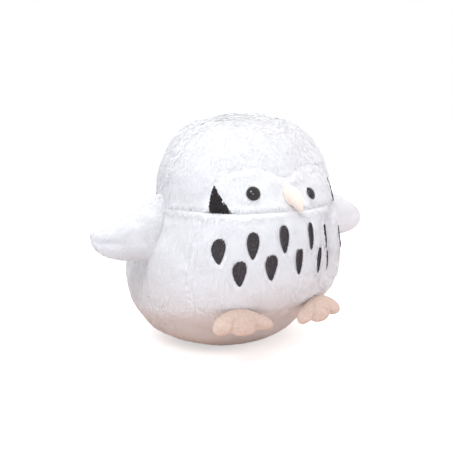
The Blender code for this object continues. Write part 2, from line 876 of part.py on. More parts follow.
def wing_line():
    """The two ends of the seam that holds a wing, on the left side."""
    ends = []
    for share in WING_ROOT_SHARES:
        z = WING_BOTTOM_HEIGHT + share * WING_CHORD_LENGTH
        ends.append(Vector((side_of_body(-WING_FORWARD_OFFSET, z) + WING_SEAT, -WING_FORWARD_OFFSET, z)))
    return ends


def wing_outline(rise_at_tip):
    """The wing's outline as x and z, on the left side."""
    low, high = wing_line()
    tip = (low.x + high.x) / 2 + WING_SPAN
    outline = []
    for span, rise in (*WING_OUTLINE_SHARES, WING_CENTRE_SHARES):
        z = WING_BOTTOM_HEIGHT + rise * WING_CHORD_LENGTH
        root = low.x + (high.x - low.x) * (z - low.z) / (high.z - low.z)
        outline.append((root + span * (tip - root), z + rise_at_tip * span))
    return outline[:-1], outline[-1]


def make_wing(side, sign):
    """Two cloths sewn round their edge over a filling, hung on the seam at the body's side."""
    outline, centre = wing_outline(WING_TIP_RISES[side])
    low, high = wing_line()
    origin = (low + high) / 2 + Vector((WING_HINGE_INSET, 0, 0))
    origin.x *= sign
    frame = Matrix(((sign, 0, 0), (0, 0, -1), (0, 1, 0))).to_4x4()
    frame.translation = Vector((0, -WING_FORWARD_OFFSET, 0))
    half = WING_THICKNESS / 2
    args = (frame, outline, centre, half)
    pad_cover("wing_front_" + side, *args, PLUSH, WING_RINGS, 1, white_plush(), origin)
    pad_cover("wing_back_" + side, *args, PLUSH, WING_RINGS, -1, white_plush(), origin)
    pad_filling("wing_filling_" + side, *args, PLUSH + PAD_GAP, WING_RINGS, stuffing_fibre(), origin)


def make_foot(side, sign):
    """A three-toed pad, sewn by its heel to the underside of the breast."""
    spread_out = FOOT_SPREADS[side]
    seat = front_of_body(spread_out, FOOT_SEAT_HEIGHT) - FOOT_SEAT
    heel = Vector((sign * spread_out, seat, FOOT_SEAT_HEIGHT))
    tilt, yaw = math.radians(FOOT_TILT), sign * math.radians(FOOT_YAW)
    forward = Vector((math.sin(yaw), -math.cos(yaw), 0)) * math.cos(tilt) - Vector((0, 0, math.sin(tilt)))
    frame = pad_axes(heel, Vector((-math.cos(yaw), -math.sin(yaw), 0)), forward)
    outline = [(-sign * u * FOOT_WIDTH / 2, v * FOOT_LENGTH) for u, v in FOOT_OUTLINE_SHARES]
    centre = (FOOT_CENTRE_SHARES[0] * FOOT_WIDTH / 2, FOOT_CENTRE_SHARES[1] * FOOT_LENGTH)
    origin = heel + forward * FOOT_HINGE_INSET
    half = FOOT_THICKNESS / 2
    args = (frame, outline, centre, half)
    pad_cover("foot_top_" + side, *args, SHORT_PILE, FOOT_RINGS, 1, peach_plush(), origin)
    pad_cover("foot_sole_" + side, *args, SHORT_PILE, FOOT_RINGS, -1, peach_plush(), origin)
    pad_filling("foot_filling_" + side, *args, SHORT_PILE + PAD_GAP, FOOT_RINGS, stuffing_fibre(), origin)


def build_owl():
    clear_scene()
    mask = make_head()
    make_body()
    filling = make_stuffing()
    for side in EYE_ANGLES:
        make_eye(side)
        make_washer(side)
    pierce_for_eyes(mask, filling)
    make_beak()
    for k, (angle, share, lean) in enumerate(UPPER_SPOTS_SHARES):
        make_spot(f"upper_spot_{k + 1}", angle, share, lean)
    for k, (angle, share, lean) in enumerate(LOWER_SPOTS_SHARES):
        make_spot(f"lower_spot_{k + 1}", angle, share, lean)
    make_wing("left", 1)
    make_wing("right", -1)
    make_foot("left", 1)
    make_foot("right", -1)


build_owl()
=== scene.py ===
import json
import math

import bmesh
import bpy
import numpy as np
from mathutils import Matrix, Vector


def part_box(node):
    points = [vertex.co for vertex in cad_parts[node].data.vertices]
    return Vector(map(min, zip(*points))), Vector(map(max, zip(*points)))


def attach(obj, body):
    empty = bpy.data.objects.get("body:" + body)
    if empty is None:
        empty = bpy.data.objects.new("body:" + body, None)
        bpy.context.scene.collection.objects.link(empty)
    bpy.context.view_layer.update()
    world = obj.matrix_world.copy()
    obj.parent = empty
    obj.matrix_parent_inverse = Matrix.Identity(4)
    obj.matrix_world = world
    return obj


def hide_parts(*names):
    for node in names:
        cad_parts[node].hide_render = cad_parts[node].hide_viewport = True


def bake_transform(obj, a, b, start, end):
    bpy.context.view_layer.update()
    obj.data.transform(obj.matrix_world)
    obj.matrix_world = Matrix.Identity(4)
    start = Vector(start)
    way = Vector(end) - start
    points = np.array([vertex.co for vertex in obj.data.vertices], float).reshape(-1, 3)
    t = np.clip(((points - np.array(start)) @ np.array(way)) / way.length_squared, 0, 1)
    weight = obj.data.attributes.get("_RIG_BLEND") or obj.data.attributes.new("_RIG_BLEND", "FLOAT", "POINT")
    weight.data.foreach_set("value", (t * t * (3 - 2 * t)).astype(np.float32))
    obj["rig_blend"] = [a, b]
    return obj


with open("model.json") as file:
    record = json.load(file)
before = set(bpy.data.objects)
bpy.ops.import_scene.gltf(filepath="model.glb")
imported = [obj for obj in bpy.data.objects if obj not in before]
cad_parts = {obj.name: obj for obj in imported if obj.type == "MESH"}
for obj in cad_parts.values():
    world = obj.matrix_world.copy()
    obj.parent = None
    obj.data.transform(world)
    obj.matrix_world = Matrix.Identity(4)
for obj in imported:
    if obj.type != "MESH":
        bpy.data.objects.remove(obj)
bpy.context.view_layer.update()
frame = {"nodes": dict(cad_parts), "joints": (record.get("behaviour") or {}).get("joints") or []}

# ---- Camera ----
# It stands a little to the owl's right of straight ahead and just above it, as the photograph's did.
# Its distance and lens come from the owl's outline and from the places of its eyes, spots and feet.
AZIMUTH, ELEVATION, DISTANCE = math.radians(-32.56), math.radians(10.11), 0.6485
LENS, SENSOR = 56.04, 36.0
AIM = Vector((0, -0.0142, 0.105))
AIM_ACROSS, AIM_UP = -0.00481, 0.00093
NEAR_CLIP = 0.01
across = Vector((math.cos(AZIMUTH), math.sin(AZIMUTH), 0))
level = math.cos(ELEVATION)
back = Vector((math.sin(AZIMUTH) * level, -math.cos(AZIMUTH) * level, math.sin(ELEVATION)))
aim = AIM + across * AIM_ACROSS + back.cross(across) * AIM_UP
bpy.ops.object.camera_add(location=aim + back * DISTANCE, rotation=back.to_track_quat("Z", "Y").to_euler())
camera = bpy.context.active_object
camera.data.lens = LENS
camera.data.sensor_width = SENSOR
camera.data.clip_start = NEAR_CLIP
bpy.context.scene.camera = camera
bpy.context.scene.view_settings.view_transform = "Standard"

# ---- Studio ----
# A wide floor in a white room, with soft lamps overhead and high on the owl's right and weak ones round it.
# Rays from the camera see both as plain white, with the owl's shadow on the floor. Two of the lamps show in the eyes.
ROOM_LIGHT, SKY = 0.72, (0.87, 0.93, 1.0, 1)
LAMPS = (
    ("key", (-0.70, -0.60, 1.10), 0.5, 5.4, (0.985, 0.98, 1.0)),
    ("top", (0.05, 0.05, 1.40), 0.9, 9.8, (1.0, 0.985, 0.96)),
    ("fill", (1.0, -0.5, 0.10), 0.9, 3.8, (1.0, 0.76, 0.72)),
    ("front", (-0.40, -1.05, 0.55), 0.26, 1.6, (0.88, 0.94, 1.0)),
    ("back", (0.30, 1.20, 0.55), 0.9, 2.0, (1.0, 1.0, 1.0)),
)
LAMPS_IN_THE_EYES = ("key", "front")
LAMP_AIM = Vector((0, 0, 0.1))
# Light bounces warm off the floor under the owl and neutral further out. The camera sees white paper, aglow far away.
NEAR_BOUNCE, FAR_BOUNCE, BOUNCE_REACH = (0.72, 0.47, 0.36, 1), (0.76, 0.76, 0.80, 1), (0.10, 0.26)
PAPER, PAPER_ROUGHNESS, GLOW, GLOW_REACH = (0.88, 0.87, 0.86, 1), 0.9, (0.52, 0.90), (0.10, 0.60)
FLOOR_SIZE, FLOOR_DROP = 12, 0.0004
# The colour sockets of a mix node, which share their names with its other sockets
MIX_A, MIX_B, MIX_RESULT = 6, 7, 2


def add_node(tree, kind, values=(), **settings):
    """A new shader node with its settings, and with values on its sockets."""
    node = tree.nodes.new("ShaderNode" + kind)
    for name, value in settings.items():
        setattr(node, name, value)
    set_values(node, values)
    return node


def set_values(node, values):
    """Sets the values of a node's sockets, from their names."""
    for socket, value in dict(values).items():
        node.inputs[socket].default_value = value


def mix_colours(tree, factor, first, second):
    """Mixes two colours, each given as a value or as the socket that it comes from."""
    node = add_node(tree, "Mix", data_type="RGBA")
    tree.links.new(factor, node.inputs["Factor"])
    for socket, colour in ((MIX_A, first), (MIX_B, second)):
        if isinstance(colour, bpy.types.NodeSocket):
            tree.links.new(colour, node.inputs[socket])
        else:
            node.inputs[socket].default_value = colour
    return node.outputs[MIX_RESULT]


def map_range(tree, value, source, target=(0, 1)):
    """Maps one range of a value to another, held at its ends."""
    ranges = dict(zip(("From Min", "From Max", "To Min", "To Max"), (*source, *target)))
    node = add_node(tree, "MapRange", ranges)
    tree.links.new(value, node.inputs["Value"])
    return node.outputs["Result"]


def combine(tree, operation, first, second):
    """Two values joined by one operation."""
    node = add_node(tree, "Math", operation=operation)
    tree.links.new(first, node.inputs[0])
    tree.links.new(second, node.inputs[1])
    return node.outputs[0]


bpy.ops.object.select_all(action="DESELECT")
bpy.ops.mesh.primitive_plane_add(size=FLOOR_SIZE, location=(0, 0, -FLOOR_DROP))
floor = bpy.context.active_object
floor.name = "floor"
paper = bpy.data.materials.new("floor_paper")
paper.use_nodes = True
tree = paper.node_tree
shader = tree.nodes["Principled BSDF"]
seen = add_node(tree, "LightPath").outputs["Is Camera Ray"]
length = add_node(tree, "VectorMath", operation="LENGTH")
tree.links.new(add_node(tree, "TexCoord").outputs["Object"], length.inputs[0])
from_middle = length.outputs["Value"]
bounce = mix_colours(tree, map_range(tree, from_middle, BOUNCE_REACH), NEAR_BOUNCE, FAR_BOUNCE)
glow = combine(tree, "MULTIPLY", seen, map_range(tree, from_middle, GLOW_REACH, GLOW))
tree.links.new(mix_colours(tree, seen, bounce, PAPER), shader.inputs["Base Color"])
tree.links.new(glow, shader.inputs["Emission Strength"])
set_values(shader, {"Roughness": PAPER_ROUGHNESS, "Emission Color": (1, 1, 1, 1)})
floor.data.materials.append(paper)

world = bpy.data.worlds.new("studio")
bpy.context.scene.world = world
world.use_nodes = True
tree = world.node_tree
sky = tree.nodes["Background"]
set_values(sky, {"Color": SKY, "Strength": ROOM_LIGHT})
white = add_node(tree, "Background", {"Color": (1, 1, 1, 1)})
path = add_node(tree, "LightPath").outputs
direct = combine(tree, "MAXIMUM", path["Is Camera Ray"], path["Is Glossy Ray"])
direct = combine(tree, "MAXIMUM", direct, path["Is Transmission Ray"])
choose = add_node(tree, "MixShader")
for source, socket in ((direct, 0), (sky.outputs[0], 1), (white.outputs[0], 2)):
    tree.links.new(source, choose.inputs[socket])
tree.links.new(choose.outputs[0], tree.nodes["World Output"].inputs["Surface"])
for name, place, size, power, tint in LAMPS:
    bpy.ops.object.light_add(type="AREA", location=place)
    lamp = bpy.context.active_object
    lamp.name = name
    lamp.data.energy = power
    lamp.data.size = size
    lamp.data.color = tint
    lamp.data.shape = "DISK"
    lamp.visible_glossy = name in LAMPS_IN_THE_EYES
    lamp.rotation_euler = (Vector(place) - LAMP_AIM).to_track_quat("Z", "Y").to_euler()

# ---- White plush panels ----
# The owl's coat is knitted plush with a short dense pile, cut as panels and sewn inside out round loose stuffing.
# Each panel swells between its seams, puckers along them, and its pile lies down the body in small locks.
# A panel's CAD solid turns past SEAM_ANGLE where its outer face ends, or past PAD_SEAM_ANGLE on the wings and feet
SEAM_ANGLE, PAD_SEAM_ANGLE, CORNER_ANGLE = math.radians(48), math.radians(58), math.radians(42)
QUAD_ANGLE, QUAD_SKEW = 0.7, 1.2
CLOTH_SINK, CLOTH_THICKNESS = 0.0007, 0.0012
SEAM_PULL, SEAM_REACH, PUFF, PUFF_REACH = 0.0011, 0.0026, 0.0005, 0.0100
PUCKER, PUCKER_LENGTH, PUCKER_REACH = 0.0004, 0.007, 0.006
SEAM_CLOSE, ALLOWANCE_OUT, ALLOWANCE_DEPTH = 0.0003, 0.0018, 0.0015
# How much the locks of pile vary in length and width, how deep they are rooted, and how they narrow
LOCK_LENGTHS, LOCK_WIDTHS, LOCK_ROOT = (0.7, 1.25), (0.75, 1.2), 0.0003
KNEE_SIZE, LOCK_HEIGHT, LOCK_CORNERS = 0.85, 0.28, 7
# Locks that stand up: the rise of their lower and upper halves, and the share of their length that is cut off
STANDING_RISE, STANDING_CUT, FRINGE_REACH = (0.85, 0.60), 0.68, 0.005
# How far a lock takes the cloth's normal in place of its own, and where that ends by the rims of the wings and feet
PILE_SOFTNESS, RIM_SOFTNESS, RIM_REACH = 0.8, 0.5, 0.0065
LOCK_SCALE, GRAIN_SCALE, GRAIN_DEPTH, FLECKS = 700, 1600, 0.0003, (0.45, 0.75)
PILE_GLOSS, SHEEN_ROUGHNESS = 0.25, 0.5
BODY_MIDDLE = np.array((0, -0.02, 0.09))
RIPPLE_SPREAD, RIPPLE_HEIGHT = (0.7, 1.4), 0.8
SAME_PLACE, TINY, TINY_SQUARE = 1e-6, 1e-6, 1e-12


def unit(ways):
    """Each way at a length of one."""
    return ways / np.maximum(np.linalg.norm(ways, axis=1), TINY)[:, None]


def laid(ways, normals):
    """Each way laid flat along the cloth."""
    return unit(ways - normals * (ways * normals).sum(1)[:, None])


def hump(distance, reach):
    """A soft hump: 1 at no distance, and near 0 past twice the reach."""
    return np.exp(-((distance / reach) ** 2))


def ripples(places, wavelength, seed, waves=16):
    """A smooth random rise and fall from about -1 to 1 over places in metres."""
    draw = np.random.default_rng(seed)
    ways = draw.normal(size=(waves, 3))
    turns = 2 * math.pi / wavelength * draw.uniform(*RIPPLE_SPREAD, waves)
    ways *= (turns / np.linalg.norm(ways, axis=1))[:, None]
    return np.sin(places @ ways.T + draw.uniform(0, 2 * math.pi, waves)).mean(1) * math.sqrt(waves) * RIPPLE_HEIGHT


def away_from_cloth(vert):
    """The way from a rim's corner out of the cloth, along its surface."""
    away = vert.co - sum((face.calc_center_median() for face in vert.link_faces), Vector()) / len(vert.link_faces)
    return (away - vert.normal * away.dot(vert.normal)).normalized()


def outer_faces(names, weld=0.0):
    """The outer faces of CAD nodes as one mesh of mostly four-sided faces, and the edges of their rims.
    Each node's faces are gathered into regions that no sharp edge crosses, of which the largest is the outer one."""
    shell, limit = bmesh.new(), PAD_SEAM_ANGLE if weld else SEAM_ANGLE
    for name in names:
        part = bmesh.new()
        part.from_mesh(frame["nodes"][name].data)
        bmesh.ops.remove_doubles(part, verts=part.verts, dist=SAME_PLACE)
        left, regions = set(part.faces), []
        while left:
            stack, region = [left.pop()], []
            while stack:
                face = stack.pop()
                region.append(face)
                for edge in face.edges:
                    if len(edge.link_faces) == 2 and edge.calc_face_angle(0) < limit:
                        for other in edge.link_faces:
                            if other in left:
                                left.discard(other)
                                stack.append(other)
            regions.append((sum(face.calc_area() for face in region), region))
        keep = set(max(regions, key=lambda found: found[0])[1])
        bmesh.ops.delete(part, geom=[face for face in part.faces if face not in keep], context="FACES")
        bmesh.ops.join_triangles(part, faces=part.faces, angle_face_threshold=QUAD_ANGLE,
                                 angle_shape_threshold=QUAD_SKEW)
        piece = bpy.data.meshes.new("part")
        part.to_mesh(piece)
        part.free()
        shell.from_mesh(piece)
        bpy.data.meshes.remove(piece)
    rim = np.array([[vert.co[:] for vert in edge.verts] for edge in shell.edges if edge.is_boundary])
    if weld:
        bmesh.ops.remove_doubles(shell, verts=[vert for vert in shell.verts if vert.is_boundary], dist=weld)
    corner = shell.verts.layers.float.new("crease_vert")
    shell.normal_update()
    shifts = {}
    for vert in shell.verts:
        ways = [edge.other_vert(vert).co - vert.co for edge in vert.link_edges if edge.is_boundary]
        if len(ways) == 2:
            shifts[vert] = away_from_cloth(vert) * SEAM_CLOSE
            if ways[0].angle(-ways[1], 0) > CORNER_ANGLE:
                vert[corner] = 1.0
    for vert, shift in shifts.items():
        vert.co += shift
    return shell, rim


def cloth_object(name, shell):
    """A new object from a mesh, with nothing of the CAD's normals, maps or materials left on it."""
    mesh = bpy.data.meshes.new(name)
    shell.to_mesh(mesh)
    shell.free()
    for layer in list(mesh.uv_layers):
        mesh.uv_layers.remove(layer)
    for attribute in [a.name for a in mesh.attributes if a.name in ("custom_normal", "sharp_edge", "sharp_face")]:
        mesh.attributes.remove(mesh.attributes[attribute])
    mesh.materials.clear()
    piece = bpy.data.objects.new(name, mesh)
    bpy.context.scene.collection.objects.link(piece)
    bpy.ops.object.select_all(action="DESELECT")
    piece.select_set(True)
    bpy.context.view_layer.objects.active = piece
    return piece


def smoothed(piece, levels):
    """Subdivides a piece smoothly."""
    bpy.ops.object.modifier_add(type="SUBSURF")
    soften = piece.modifiers[-1]
    soften.levels = soften.render_levels = levels
    bpy.ops.object.modifier_apply(modifier=soften.name)


def places_of(mesh):
    places = np.zeros(len(mesh.vertices) * 3)
    mesh.vertices.foreach_get("co", places)
    return places.reshape(-1, 3)


def normals_of(mesh):
    normals = np.zeros(len(mesh.vertices) * 3, np.float32)
    mesh.vertex_normals.foreach_get("vector", normals)
    return normals.reshape(-1, 3).astype(float)


def rim_distance(places, rim):
    """How far each place lies from the nearest edge of a rim."""
    nearest = np.full(len(places), 1.0)
    for start, end in rim:
        step = end - start
        share = np.clip((places - start) @ step / max(step @ step, TINY_SQUARE), 0, 1)
        nearest = np.minimum(nearest, np.linalg.norm(places - start - share[:, None] * step, axis=1))
    return nearest


def lie_down(places, normals):
    """The pile lies down the body, and outward over the crown."""
    return laid(np.array((0.0, 0.0, -1.0)) + (places - BODY_MIDDLE) * (2.0, 2.0, 0.0), normals)


def pile_roots(piece, spacing, draw):
    """Random places over a cloth, one for each lock of its pile, with their normals and corner weights."""
    mesh = piece.data
    mesh.calc_loop_triangles()
    corners = np.zeros(len(mesh.loop_triangles) * 3, np.int32)
    mesh.loop_triangles.foreach_get("vertices", corners)
    corners = corners.reshape(-1, 3)
    places, normals = places_of(mesh), normals_of(mesh)
    a, b, c = (places[corners[:, k]] for k in range(3))
    areas = np.linalg.norm(np.cross(b - a, c - a), axis=1) / 2
    count = int(areas.sum() / spacing**2)
    edges = np.cumsum(areas) / areas.sum()
    chosen = corners[np.searchsorted(edges, (np.arange(count) + draw.uniform(0, 1, count)) / count)]
    u, v = draw.uniform(0, 1, (2, count, 1))
    flip = u + v > 1
    u, v = np.where(flip, 1 - u, u), np.where(flip, 1 - v, v)
    weights = np.concatenate((1 - u - v, u, v), 1)
    roots = (places[chosen] * weights[:, :, None]).sum(1)
    out = (normals[chosen] * weights[:, :, None]).sum(1)
    return roots, out / np.linalg.norm(out, axis=1)[:, None], chosen, weights


def pile_mesh(name, roots, out, facing, lie, length, width, draw, rise, stray, upright, softness):
    """Locks of pile: each a bent, closed, three-sided lock from the cloth to a point."""
    count = len(roots)
    yaw = draw.normal(0, stray, count)[:, None]
    lie = lie * np.cos(yaw) + np.cross(out, lie) * np.sin(yaw)
    side = np.cross(out, lie)
    long = (length * draw.uniform(*LOCK_LENGTHS, count))[:, None]
    wide = (width * draw.uniform(*LOCK_WIDTHS, count))[:, None]
    first = (rise[0] + (STANDING_RISE[0] - rise[0]) * upright)[:, None]
    last = (rise[1] + (STANDING_RISE[1] - rise[1]) * upright)[:, None]
    low = out * first + lie * np.sqrt(1 - first**2)
    high = out * last + lie * np.sqrt(1 - last**2)
    start = roots - out * LOCK_ROOT
    knee = start + low * long * 0.5
    tip = knee + high * long * 0.5
    rows = []
    for middle, along, size in ((start, low, 1.0), (knee, (low + high) / 2, KNEE_SIZE)):
        top = np.cross(along, side)
        top *= np.where((top * out).sum(1) < 0, -1, 1)[:, None] / np.linalg.norm(top, axis=1)[:, None]
        half = side * wide * size / 2
        rows += [middle + half, middle - half, middle + top * wide * size * LOCK_HEIGHT]
    verts = np.stack(rows + [tip], 1).reshape(-1, 3)
    outward = (side * 0.5, -side * 0.5, out * 0.1)
    softness = softness[:, None]
    soft = np.stack([facing * softness + own * (1 - softness) for own in outward * 2 + (facing,)], 1)
    soft[(softness < RIM_SOFTNESS).ravel()] = 0
    soft = soft.reshape(-1, 3)
    shape = ((0, 3, 4, 1), (1, 4, 5, 2), (2, 5, 3, 0), (3, 6, 4), (4, 6, 5), (5, 6, 3), (0, 1, 2))
    loops = np.concatenate([np.array(face) for face in shape])
    starts = np.cumsum([0] + [len(face) for face in shape])[:-1]
    mesh = bpy.data.meshes.new(name)
    mesh.vertices.add(count * LOCK_CORNERS)
    mesh.vertices.foreach_set("co", verts.ravel())
    mesh.loops.add(count * len(loops))
    mesh.loops.foreach_set("vertex_index", (np.arange(count)[:, None] * LOCK_CORNERS + loops).ravel())
    mesh.polygons.add(count * len(shape))
    mesh.polygons.foreach_set("loop_start", (np.arange(count)[:, None] * len(loops) + starts).ravel())
    mesh.update(calc_edges=True)
    return mesh, unit(soft)


def add_mesh(piece, mesh):
    """Joins a mesh to a piece."""
    extra = bpy.data.objects.new(mesh.name, mesh)
    bpy.context.scene.collection.objects.link(extra)
    bpy.ops.object.select_all(action="DESELECT")
    extra.select_set(True)
    piece.select_set(True)
    bpy.context.view_layer.objects.active = piece
    bpy.ops.object.join()


def turn_in(piece):
    """Turns a seam allowance in from the rim of a cloth, out far enough under it to meet the next cloth's."""
    cloth = bmesh.new()
    cloth.from_mesh(piece.data)
    cloth.normal_update()
    rim = [edge for edge in cloth.edges if edge.is_boundary]
    ways = {}
    for vert in {vert for edge in rim for vert in edge.verts}:
        ways[vert.co.copy().freeze()] = away_from_cloth(vert) * ALLOWANCE_OUT - vert.normal * ALLOWANCE_DEPTH
    grown = bmesh.ops.extrude_edge_only(cloth, edges=rim)["geom"]
    for vert in (item for item in grown if isinstance(item, bmesh.types.BMVert)):
        vert.co += ways[vert.co.copy().freeze()]
    cloth.to_mesh(piece.data)
    cloth.free()


def give_thickness(piece, thickness):
    """Gives a cloth its thickness, inwards."""
    bpy.ops.object.modifier_add(type="SOLIDIFY")
    wall = piece.modifiers[-1]
    wall.thickness = thickness
    wall.offset = -1
    bpy.ops.object.modifier_apply(modifier=wall.name)


def plush(name, colour, shade, fleck, roughness, sheen, tint, bump, wavelength=0.03):
    """A pile fabric: its colour drifts in wide soft patches and from lock to lock, under a fine fibre grain."""
    look = bpy.data.materials.new(name)
    look.use_nodes = True
    tree = look.node_tree
    shader = tree.nodes["Principled BSDF"]
    places = add_node(tree, "TexCoord").outputs["Object"]
    drift, lock, grain = (add_node(tree, "TexNoise", {"Scale": scale, "Detail": detail})
                          for scale, detail in ((1 / wavelength, 2), (LOCK_SCALE, 1), (GRAIN_SCALE, 2)))
    for texture in (drift, lock, grain):
        tree.links.new(places, texture.inputs["Vector"])
    patch = mix_colours(tree, drift.outputs["Fac"], (*colour, 1), (*shade, 1))
    speck = mix_colours(tree, map_range(tree, lock.outputs["Fac"], FLECKS), patch, (*fleck, 1))
    relief = add_node(tree, "Bump", {"Strength": bump, "Distance": GRAIN_DEPTH})
    tree.links.new(grain.outputs["Fac"], relief.inputs["Height"])
    tree.links.new(relief.outputs["Normal"], shader.inputs["Normal"])
    tree.links.new(speck, shader.inputs["Base Color"])
    set_values(shader, {"Roughness": roughness, "Specular IOR Level": PILE_GLOSS, "Sheen Weight": sheen,
                        "Sheen Roughness": SHEEN_ROUGHNESS, "Sheen Tint": (*tint, 1)})
    return look


white_plush = plush("white_plush_pile", (0.97, 0.96, 0.95), (0.96, 0.945, 0.95), (0.93, 0.915, 0.915), 0.95, 0.25,
                    (1, 1, 1), 0.5)


def spot_outline(name):
    """A cloth spot's middle, its up and right, and its rim as turns and distances from the middle."""
    shell, edges = outer_faces([name])
    rim = np.unique(edges.reshape(-1, 3), axis=0)
    out = np.array(sum((face.normal for face in shell.faces), Vector()).normalized())
    shell.free()
    middle = rim.mean(0)
    up = np.array((0.0, 0.0, 1.0)) - out * out[2]
    up /= np.linalg.norm(up)
    right = np.cross(up, out)
    flat = np.stack(((rim - middle) @ right, (rim - middle) @ up), 1)
    turns = np.arctan2(flat[:, 1], flat[:, 0])
    order = np.argsort(turns)
    return middle, right, up, turns[order], np.linalg.norm(flat, axis=1)[order]


SPOT_NAMES = sorted(name for name in frame["nodes"] if "_spot_" in name)
SPOTS = [spot_outline(name) for name in SPOT_NAMES]
# How far from a spot's middle its pile is looked for, how deep it is sewn in and over what width, and how far out the
# pile is combed away from its edge. Past FAR_SPOTS degrees towards the owl's left, they are sewn deeper.
SPOT_NEAR, SPOT_PRESS, SPOT_PRESS_WIDTH, SPOT_COMB, SPOT_BARE = 0.018, 0.0016, 0.003, 0.0022, 0.0002
FAR_SPOT_PRESS, FAR_SPOTS, FAR_SPREAD = 0.0030, 20, 6
# The share of each spot's width that shows between the pile at its sides, lower row first
SPOT_SHOW = (0.87, 0.81, 0.56, 0.42, 0.50, 0.88, 0.78, 0.67, 0.42, 0.44, 0.58)


def spot_near(roots):
    """How far each place lies outside the nearest spot's edge, below zero inside it, and the way from its middle."""
    gap, away = np.full(len(roots), 1.0), np.zeros_like(roots)
    for (middle, right, up, turns, reach), show in zip(SPOTS, SPOT_SHOW):
        close = np.flatnonzero(np.linalg.norm(roots - middle, axis=1) < SPOT_NEAR)
        flat = np.stack(((roots[close] - middle) @ right / show, (roots[close] - middle) @ up), 1)
        far = np.linalg.norm(flat, axis=1)
        found = far - np.interp(np.arctan2(flat[:, 1], flat[:, 0]), turns, reach, period=2 * math.pi)
        nearer = found < gap[close]
        gap[close[nearer]] = found[nearer]
        away[close[nearer]] = (roots[close] - middle)[nearer] / np.maximum(far, TINY)[nearer, None]
    return gap, away


# Folds in the stuffed body: the angles round it and heights that each runs through, its depth and its half width.
# A depth below zero swells out.
FOLDS = (
    ("flank_slope", ((31.0, 0.112), (32.0, 0.096), (34.0, 0.076)), 0.0055, 0.0180),
    ("flank_crease", ((28.5, 0.118), (29.5, 0.102), (35.0, 0.086), (36.0, 0.068)), 0.0045, 0.0060),
    ("flank_lip", ((37.0, 0.118), (38.0, 0.102), (41.0, 0.086), (42.0, 0.070)), -0.0045, 0.0070),
    ("cheek", ((33.0, 0.166), (33.5, 0.150), (34.0, 0.140)), -0.0034, 0.0085),
    ("belly", ((7.0, 0.062), (6.0, 0.050), (4.5, 0.040)), 0.0016, 0.0040),
    ("wing_root_right", ((-83.0, 0.130), (-83.0, 0.100)), -0.0045, 0.0170),
    ("wing_root_left", ((83.0, 0.130), (83.0, 0.100)), -0.0045, 0.0170),
)
# The stuffing's own unevenness: wavelength, seed and height
UNEVEN = ((0.060, 11, 0.0007), (0.022, 12, 0.0003))
NECK_HEIGHT, NECK_FILL, NECK_REACH = 0.133, 0.0028, 0.0055
WAIST = np.array((0, -0.022, 0))


def fold_height(places):
    """How far the folds, the stuffing's unevenness and the sewn spots move the surface, along its normal."""
    out = places - WAIST
    angles, reach = np.degrees(np.arctan2(out[:, 0], -out[:, 1])), np.hypot(out[:, 0], out[:, 1])
    rise = sum(ripples(places, wavelength, seed) * height for wavelength, seed, height in UNEVEN)
    for _, line, depth, wide in FOLDS:
        nearest = np.full(len(places), 1.0)
        for (a, low), (b, high) in zip(line, line[1:]):
            start = np.stack((np.radians(angles - a) * reach, places[:, 2] - low), 1)
            step = np.stack((np.radians(b - a) * reach, np.full(len(places), high - low)), 1)
            share = np.clip((start * step).sum(1) / (step * step).sum(1), 0, 1)
            nearest = np.minimum(nearest, np.linalg.norm(start - step * share[:, None], axis=1))
        rise -= depth * hump(nearest, wide)
    far = np.clip((angles - FAR_SPOTS) / FAR_SPREAD, 0, 1)
    press = SPOT_PRESS * (1 - far) + FAR_SPOT_PRESS * far
    return rise - press * np.clip(0.5 - spot_near(places)[0] / SPOT_PRESS_WIDTH, 0, 1)


def body_form(places, normals):
    """The folds, and the groove of the neck filled out by the stuffing."""
    outward = unit((places - WAIST) * (1.0, 1.0, 0.0))
    neck = NECK_FILL * hump(places[:, 2] - NECK_HEIGHT, NECK_REACH)
    return normals * fold_height(places)[:, None] + outward * neck[:, None]


